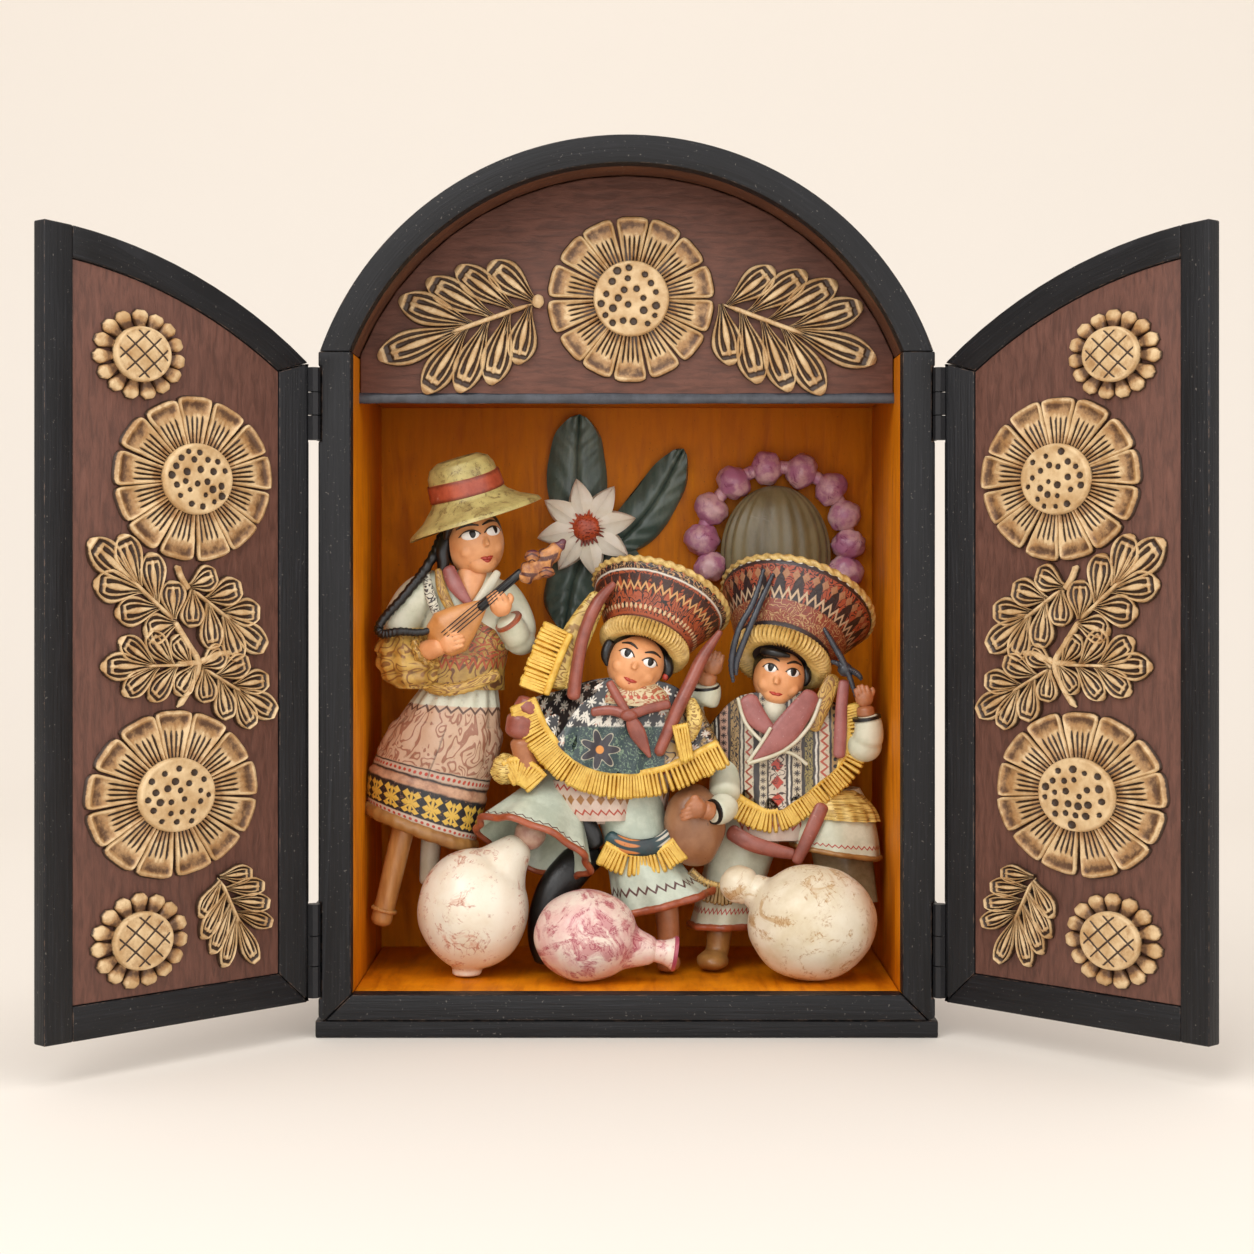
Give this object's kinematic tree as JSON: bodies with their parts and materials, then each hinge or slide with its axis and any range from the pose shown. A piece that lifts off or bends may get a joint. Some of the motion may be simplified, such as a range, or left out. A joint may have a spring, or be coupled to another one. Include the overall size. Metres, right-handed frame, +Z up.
{
  "type": "folding shrine box",
  "caption": "Arched wooden shrine box with two hinged arched doors, clay flowers and leaves in relief, and a scene of clay figures and gourds inside.",
  "frame": {"origin": "centre of the plinth's underside", "axes": "+Z up, -Y out of the open front, +X to the viewer's right"},
  "size_m": [0.4322, 0.2186, 0.3619],
  "materials": {
    "black_wood": "black brushed paint, satin",
    "red_wood": "red-brown brushed paint, matt",
    "orange_wood": "orange paint, satin",
    "gold_clay": "cream-gold paint with dark antiquing",
    "black_steel": "black, satin",
    "figure_clay": "painted and varnished",
    "leaf_clay": "dark green, varnished",
    "white_clay": "off-white, varnished",
    "pink_clay": "mottled pink, varnished",
    "olive_clay": "olive grey",
    "brown_clay": "brown"
  },
  "bodies": {
    "box": {"plinth": "black_wood", "floor_board": "orange_wood", "back_board": "orange_wood", "side_board_left": "orange_wood", "side_board_right": "orange_wood", "arch_board": "orange_wood", "ceiling_board": "orange_wood", "frame_stile_left": "black_wood", "frame_stile_right": "black_wood", "frame_sill": "black_wood", "frame_arch": "black_wood", "tympanum": "red_wood", "tympanum_flower": "gold_clay", "tympanum_leaf_left": "gold_clay", "tympanum_leaf_right": "gold_clay", "case_hinge_upper_left": "black_steel", "case_hinge_upper_right": "black_steel", "case_hinge_lower_left": "black_steel", "case_hinge_lower_right": "black_steel", "musician": "figure_clay", "centre_dancer": "figure_clay", "right_dancer": "figure_clay", "plant": "leaf_clay", "plant_flower": "white_clay", "garland": "pink_clay", "dome": "olive_clay", "white_gourd": "white_clay", "pink_gourd": "pink_clay", "cream_gourd": "white_clay", "brown_jug": "brown_clay"},
    "left_door": {"left_stile_hinge": "black_wood", "left_stile_free": "black_wood", "left_rail_bottom": "black_wood", "left_rail_top": "black_wood", "left_panel": "red_wood", "left_rosette_top": "gold_clay", "left_flower_upper": "gold_clay", "left_flower_lower": "gold_clay", "left_rosette_bottom": "gold_clay", "left_sprig": "gold_clay", "left_leaf_bottom": "gold_clay", "left_hinge_leaf_upper": "black_steel", "left_hinge_leaf_lower": "black_steel"},
    "right_door": {"right_stile_hinge": "black_wood", "right_stile_free": "black_wood", "right_rail_bottom": "black_wood", "right_rail_top": "black_wood", "right_panel": "red_wood", "right_rosette_top": "gold_clay", "right_flower_upper": "gold_clay", "right_flower_lower": "gold_clay", "right_rosette_bottom": "gold_clay", "right_sprig": "gold_clay", "right_leaf_bottom": "gold_clay", "right_hinge_leaf_upper": "black_steel", "right_hinge_leaf_lower": "black_steel"}
  },
  "joints": [
    {"name": "left_door_hinge", "type": "hinge", "parent": "box", "child": "left_door", "pos_m": [-0.1252, -0.064, 0.14], "axis": [0, 0, 1], "range_deg": [-46.8, 133.2]},
    {"name": "right_door_hinge", "type": "hinge", "parent": "box", "child": "right_door", "pos_m": [0.1252, -0.064, 0.14], "axis": [0, 0, -1], "range_deg": [-46.8, 133.2]}
  ]
}
